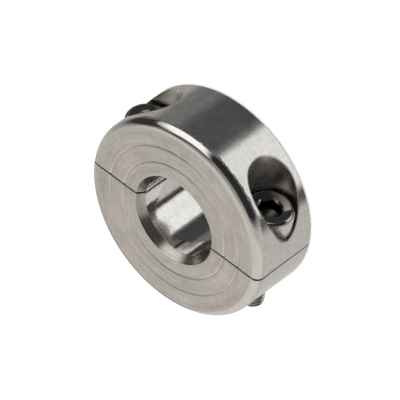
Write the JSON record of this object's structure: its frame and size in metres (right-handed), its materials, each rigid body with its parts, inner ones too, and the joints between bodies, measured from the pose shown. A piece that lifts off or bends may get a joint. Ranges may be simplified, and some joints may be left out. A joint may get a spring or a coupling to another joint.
{
  "type": "shaft collar",
  "caption": "Split ring collar that clamps round a shaft, with socket-head screws in counterbores and grooves in one face.",
  "frame": {"origin": "on the bore's axis, at the plain back face that the collar stands on", "axes": "+Z along the bore towards the grooved front face, X along the saw cut, +Y from the tapped half towards the screw heads"},
  "size_m": [0.025, 0.025, 0.009],
  "materials": {
    "collar_steel": "fine-turned stainless steel with a polished outside and bore",
    "screw_steel": "stainless steel, a little duller than the collar, with a fine straight knurl on the head"
  },
  "bodies": {
    "lower_half": {"lower_half": "collar_steel"},
    "upper_half": {"upper_half": "collar_steel"},
    "left_screw": {"left_screw": "screw_steel"},
    "right_screw": {"right_screw": "screw_steel"}
  },
  "joints": [
    {"name": "upper_half_lift", "type": "slide", "parent": "lower_half", "child": "upper_half", "axis": [0, 1, 0], "range_m": [-0.00015, 0.0092]},
    {"name": "left_screw_turn", "type": "hinge", "parent": "upper_half", "child": "left_screw", "pos_m": [-0.009, 0.0029, 0.0041], "axis": [0, 1, 0], "range_deg": [-108, 6624]},
    {"name": "right_screw_turn", "type": "hinge", "parent": "upper_half", "child": "right_screw", "pos_m": [0.009, 0.0029, 0.0041], "axis": [0, 1, 0], "range_deg": [-108, 6624]}
  ],
  "couplings": [
    {"joint": "left_screw_turn", "follows": "upper_half_lift", "rad_per_m": 12566},
    {"joint": "right_screw_turn", "follows": "upper_half_lift", "rad_per_m": 12566}
  ]
}
